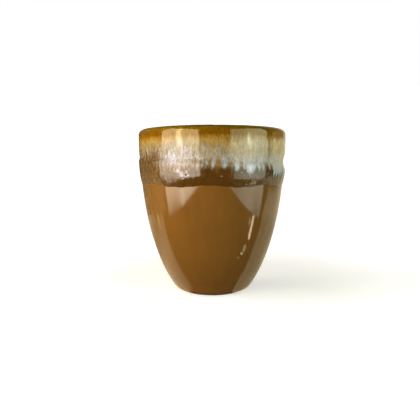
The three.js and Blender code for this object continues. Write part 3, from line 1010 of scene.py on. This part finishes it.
def pale_paper(name, tint, lifts, lit, back_glow):
    """Pale paper that the camera sees lifted to white, less so in the mug's shadow, and that mirrors in the
    glaze with a glow: beside the mug and at the back on the left, and with distance on the right."""
    material, tree = new_material(name)
    place = step(tree, "NewGeometry").outputs["Position"]
    reach = step(tree, "VectorMath", {0: place}, operation="LENGTH").outputs["Value"]
    path = step(tree, "LightPath").outputs
    lift = times(ranged(reach, SHADOW_REACH, lifts), path["Is Camera Ray"])
    across, back, level = step(tree, "SeparateXYZ", {0: place}).outputs
    left = ranged(back, LEFT_MIRROR_START, (0.0, LEFT_MIRROR))
    left = times(left, share_of(back, *LEFT_MIRROR_END))
    left_back = ranged(level, BACK_MIRROR_LEVELS, back_glow)
    left_back = times(left_back, share_of(back, *BACK_MIRROR_START))
    left = calc("ADD", left, left_back)
    right = ranged(across, RIGHT_MIRROR_RISE, RIGHT_MIRROR)
    right = times(right, ranged(across, RIGHT_MIRROR_FALL, (1.0, RIGHT_MIRROR_FAR)))
    mirrored = times(ranged(across, LEFT_TO_RIGHT, (left, right)), path["Is Glossy Ray"])
    warm = [share * part * lit for share, part in zip(tint, MIRROR_WARMTH)]
    colour = blend(path["Is Glossy Ray"], rgb(*tint), rgb(*warm))
    paper = step(tree, "BsdfDiffuse", {"Color": colour}).outputs[0]
    total = step(tree, "AddShader", {0: paper, 1: emission((1, 1, 1), lift)}).outputs[0]
    total = step(tree, "AddShader", {0: total, 1: emission(MIRROR_TINT, mirrored)}).outputs[0]
    return end_in(material, total)


def stage_sheet(name, points, faces, material):
    mesh = bpy.data.meshes.new(name)
    mesh.from_pydata(points, [], faces)
    mesh.shade_smooth()
    mesh.materials.append(material)
    sheet = put(name, mesh)
    return sheet


def swept_paper(left, right, front, level):
    """Points and faces of paper that lies on the floor and sweeps up behind the mug in a quarter round."""
    turn = quarter(16)
    y = np.concatenate([[front], BACK_AT - BACK_BEND + BACK_BEND * np.sin(turn), [BACK_AT]])
    z = np.concatenate([[0.0], BACK_BEND * (1 - np.cos(turn)), [BACK_TOP]]) + level
    across = np.stack([np.full_like(y, left), y, z], axis=-1)
    points = np.stack([across, across * (0, 1, 1) + (right, 0, 0)], axis=1).reshape(-1, 3)
    first = 2 * np.arange(len(y) - 1)[:, None]
    return points.tolist(), (first + [0, 1, 3, 2]).tolist()


def studio():
    """A board under the mug, paper swept up behind it, dim on the left, and paper all over that never
    mirrors."""
    bright = pale_paper("board paper", *BOARD_PAPER)
    paper = pale_paper("studio paper", *SEEN_PAPER)
    dim = pale_paper("dim paper", *DIM_PAPER)
    outline = BOARD_FRONT + [(FLOOR_HALF, BACK_AT), (BOARD_FRONT[0][0], BACK_AT)]
    board = [(x, y, 0.0) for x, y in outline]
    stage_sheet("board", board, [tuple(range(len(board)))], bright)
    bend_start = BACK_AT - BACK_BEND
    stage_sheet("sweep", *swept_paper(0.0, SWEEP_HALF, bend_start, OVER_BOARD), bright)
    stage_sheet("left_sweep", *swept_paper(-SWEEP_HALF, 0.0, bend_start, OVER_BOARD), dim)
    seen = stage_sheet("floor_seen", *swept_paper(-FLOOR_HALF, FLOOR_HALF, FLOOR_FRONT, -UNDER_BOARD), paper)
    seen.visible_glossy = False


def lamp_light(name, colour, behind):
    """Light off a sheet, as strong as it keeps for each vertex, with a share of it off its other side."""
    material, tree = new_material(name)
    back = step(tree, "NewGeometry").outputs["Backfacing"]
    share = step(tree, "MapRange", {"Value": back, "To Min": 1.0, "To Max": behind}).outputs[0]
    strength = times(kept(tree, "radiance"), share)
    return end_in(material, emission(colour, strength))


# Windows: places of the back and front ends on the floor, colours, and levels
LEFT_WINDOW = ((-0.134, -0.051), (-0.093, -0.346))
RIGHT_WINDOW = ((0.141, -0.031), (0.131, -0.280))
LEFT_COLOUR = (1.0, 0.89, 0.67)
RIGHT_COLOUR = (0.92, 1.04, 0.86)
WINDOW_LEVELS = (0.001, 0.13)
HEAD_LEVELS = (0.13, 0.2)
WINDOW_GRID = (91, 61)
FOOT_CLOSER = 1.5

# Left window's light, by the share of the way to its front end and the height in millimetres
LEFT_RADIANCE = 5.5
LEFT_FADE, LEFT_FADE_LESS = 28, 20
LEFT_FRONT = (0.12, 0.27)
CORE_RADIANCE, CORE_MORE = 1.0, 7.0
CORE_RISE = (30, 90)
CORE_AT, CORE_LEAN, CORE_HALF = 0.274, 0.02, 0.043
CORE_HEAD = (82, 98)
CUT_SHARES = (0.8, 0.88)
CUT_HEIGHTS = (80, 95)

# Right window's light, and the streak in it
RIGHT_RADIANCE = 2.3
RIGHT_FADE = 40
RIGHT_FOOT, RIGHT_FOOT_MORE = 0.35, 0.5
RIGHT_FRONT = (0.1, 0.25)
RIGHT_HEAD_MORE = 0.35
RIGHT_HEAD = (90, 100)
RIGHT_DIM = 0.25
RIGHT_DIM_SHARES = (0.3, 0.6)
STREAK_RADIANCE = 11.0
STREAK_AT, STREAK_LEAN, STREAK_MIDDLE = 0.362, 0.0012, 92
STREAK_WAVE, STREAK_WAVE_HEIGHT = 0.012, 1.5
STREAK_EDGE = 0.012
STREAK_TAIL, STREAK_LONG_TAIL, LONG_TAIL_SHARE = 0.02, 0.1, 0.25
STREAK_FOOT = (76, 84)
STREAK_HEAD = (101, 96)


def window(name, levels, ends, colour, behind, radiance):
    """An upright sheet of light that faces the mug: a grid of shares along it and of heights, closer near
    its foot, with a radiance worked out from both."""
    share, rise = np.meshgrid(*[np.linspace(0, 1, count) for count in WINDOW_GRID])
    height = levels[0] + (levels[1] - levels[0]) * rise ** FOOT_CLOSER
    (x0, y0), (x1, y1) = ends
    points = np.stack([x0 + (x1 - x0) * share, y0 + (y1 - y0) * share, height], axis=-1)
    at = np.arange(share.size).reshape(share.shape)
    faces = np.stack([at[:-1, :-1], at[:-1, 1:], at[1:, 1:], at[1:, :-1]], axis=-1).reshape(-1, 4)
    if x0 < 0:
        faces = faces[:, ::-1]
    material = lamp_light(name, colour, behind)
    sheet = stage_sheet(name, points.reshape(-1, 3).tolist(), faces.tolist(), material)
    note(sheet.data, "radiance", radiance(share, height / MM))
    sheet.visible_camera = False
    return sheet


def left_radiance(share, height):
    """Fades towards the floor, more so at the back, with a bright upright core that leans back at its head,
    and its front corner cut off above."""
    fade = LEFT_FADE - LEFT_FADE_LESS * eased(share, *LEFT_FRONT)
    middle = CORE_AT - CORE_LEAN * eased(height, *CORE_HEAD)
    strength = CORE_RADIANCE + CORE_MORE * eased(height, *CORE_RISE)
    core = strength * np.exp(-((share - middle) / CORE_HALF) ** 4)
    cut = 1 - eased(share, *CUT_SHARES) * eased(height, *CUT_HEIGHTS)
    return LEFT_RADIANCE * np.tanh(height / fade) * cut + core


def right_radiance(share, height):
    """Fades towards the floor, more so at the back, and dims to the front, with a wavy streak under its head
    that is sharp in front and fades behind."""
    foot = RIGHT_FOOT + RIGHT_FOOT_MORE * eased(share, *RIGHT_FRONT)
    body = RIGHT_RADIANCE * (foot + (1 - foot) * np.tanh(height / RIGHT_FADE))
    body = body * (1 + RIGHT_HEAD_MORE * eased(height, *RIGHT_HEAD))
    body = body * (1 - RIGHT_DIM * eased(share, *RIGHT_DIM_SHARES))
    middle = STREAK_AT + STREAK_WAVE * np.sin(height / STREAK_WAVE_HEIGHT)
    behind = middle - STREAK_LEAN * (height - STREAK_MIDDLE) - share
    tail = np.maximum(behind, 0)
    tails = (1 - LONG_TAIL_SHARE) * np.exp(-tail / STREAK_TAIL)
    tails = tails + LONG_TAIL_SHARE * np.exp(-tail / STREAK_LONG_TAIL)
    streak = np.where(behind < 0, np.exp(-(behind / STREAK_EDGE) ** 2), tails)
    return body + STREAK_RADIANCE * streak * eased(height, *STREAK_FOOT) * eased(height, *STREAK_HEAD)


# Sheets of light that only mirror in the glaze: corners in millimetres, on the floor where no level is
# given, and radiance, or radiance at each corner
SHEET_LEVEL = 0.0005
GLEAM_COLOUR = (1.0, 0.80, 0.56)
GLEAMS = {
    "long_gleam": ([(134, -64), (140, -55), (86, -44), (75, -40), (72, -45), (82, -50)], 7.5),
    "short_gleam": ([(117, -72), (120, -68), (102, -60), (99, -64)], 3.0),
    "near_gleam": ([(58, -46), (62, -42), (51, -38), (47, -42)], 2.6),
    "dot_gleam": ([(44.5, -43.5), (47, -41), (45, -38), (42, -41)], 5.5),
    "last_gleam": ([(34.5, -42.5), (37, -42), (37.5, -39), (35.5, -39.5)], 2.4),
}
WARM_COLOUR = (1.0, 0.68, 0.32)
SURROUNDINGS = {
    "table_glow": ([(-175, 202), (-700, 202), (-700, -90), (-175, -40)], [0.3, 0.3, 0.75, 0.75]),
    "wall_glow": (
        [(330, 325, 60), (1600, 325, 60), (1600, 370, 320), (330, 370, 320)],
        [0.5, 1.5, 1.5, 0.4],
    ),
    "left_streak": (
        [(-174, 34), (-154, 26), (-126, 17), (-126, 13), (-154, 19), (-174, 27)],
        [4.2, 4.2, 3.0, 3.0, 4.2, 4.2],
    ),
    "left_edge_streak": ([(-164, -3), (-117, -13), (-117, -16.5), (-162, -9)], 2.0),
}


def mirrored_sheets(sheets, material):
    for name, (corners, radiance) in sheets.items():
        points = [(x * MM, y * MM, level[0] * MM if level else SHEET_LEVEL) for x, y, *level in corners]
        sheet = stage_sheet(name, points, [tuple(range(len(points)))], material)
        note(sheet.data, "radiance", np.broadcast_to(radiance, len(points)))
        sheet.visible_camera = False
        sheet.visible_diffuse = False


FILL_PLACE = (-0.36, 0.13, 0.25)
FILL_SIZE = 0.3
FILL_RADIANCE = 4.4
FILL_COLOUR = (1.0, 0.92, 0.72)


def fill():
    """A square lamp that faces the mug and doesn't mirror: its power is radiance times area times pi."""
    lamp = bpy.data.lights.new("left fill", "AREA")
    lamp.size = FILL_SIZE
    lamp.energy = FILL_RADIANCE * math.pi * FILL_SIZE ** 2
    lamp.color = FILL_COLOUR
    facing = Vector((0, 0, HEIGHT * MM / 2)) - Vector(FILL_PLACE)
    turn = facing.to_track_quat("-Z", "Y").to_matrix().to_4x4()
    holder = put("left fill", lamp)
    holder.matrix_world = Matrix.Translation(FILL_PLACE) @ turn
    holder.visible_camera = False
    holder.visible_glossy = False


def lights():
    """Two windows, whose heads only mirror, and the sheets that only mirror."""
    windows = {
        "left_window": (LEFT_WINDOW, LEFT_COLOUR, 0.0, left_radiance),
        "right_window": (RIGHT_WINDOW, RIGHT_COLOUR, 1.0, right_radiance),
    }
    for name, given in windows.items():
        window(name, WINDOW_LEVELS, *given)
    for name, given in windows.items():
        head = window(name + "_head", HEAD_LEVELS, *given)
        head.visible_diffuse = False
    mirrored_sheets(GLEAMS, lamp_light("gleam", GLEAM_COLOUR, 1.0))
    mirrored_sheets(SURROUNDINGS, lamp_light("warm surroundings", WARM_COLOUR, 1.0))


ROOM_COLOUR = (1, 0.97, 0.92)
ROOM_STRENGTH = 0.05


def world():
    """A dim room that the camera sees as white."""
    made = bpy.data.worlds.new("studio")
    bpy.context.scene.world = made
    made.use_nodes = True
    tree = made.node_tree
    tree.nodes.clear()
    inputs = {"Color": rgb(*ROOM_COLOUR), "Strength": ROOM_STRENGTH}
    dim = step(tree, "Background", inputs).outputs[0]
    white = step(tree, "Background", {"Color": rgb(1, 1, 1), "Strength": 1.0}).outputs[0]
    camera_ray = step(tree, "LightPath").outputs["Is Camera Ray"]
    either = step(tree, "MixShader", {0: camera_ray, 1: dim, 2: white}).outputs[0]
    feed(step(tree, "OutputWorld").inputs["Surface"], either)


CAMERA_PLACE = (0.0, -0.280, 0.0728)
CAMERA_DOWN = 0.0914
CAMERA_LEFT = 0.00504
CAMERA_ROLL = -0.0038
LENS = 40.42
SENSOR = 36


def camera():
    data = bpy.data.cameras.new("camera")
    data.sensor_width = SENSOR
    data.lens = LENS
    holder = put("camera", data)
    turn = Matrix.Rotation(CAMERA_LEFT, 4, "Z") @ Matrix.Rotation(math.pi / 2 - CAMERA_DOWN, 4, "X")
    holder.matrix_world = Matrix.Translation(CAMERA_PLACE) @ turn @ Matrix.Rotation(CAMERA_ROLL, 4, "Z")
    bpy.context.scene.camera = holder


studio()
lights()
fill()
world()
camera()
bpy.context.scene.view_settings.view_transform = "Standard"
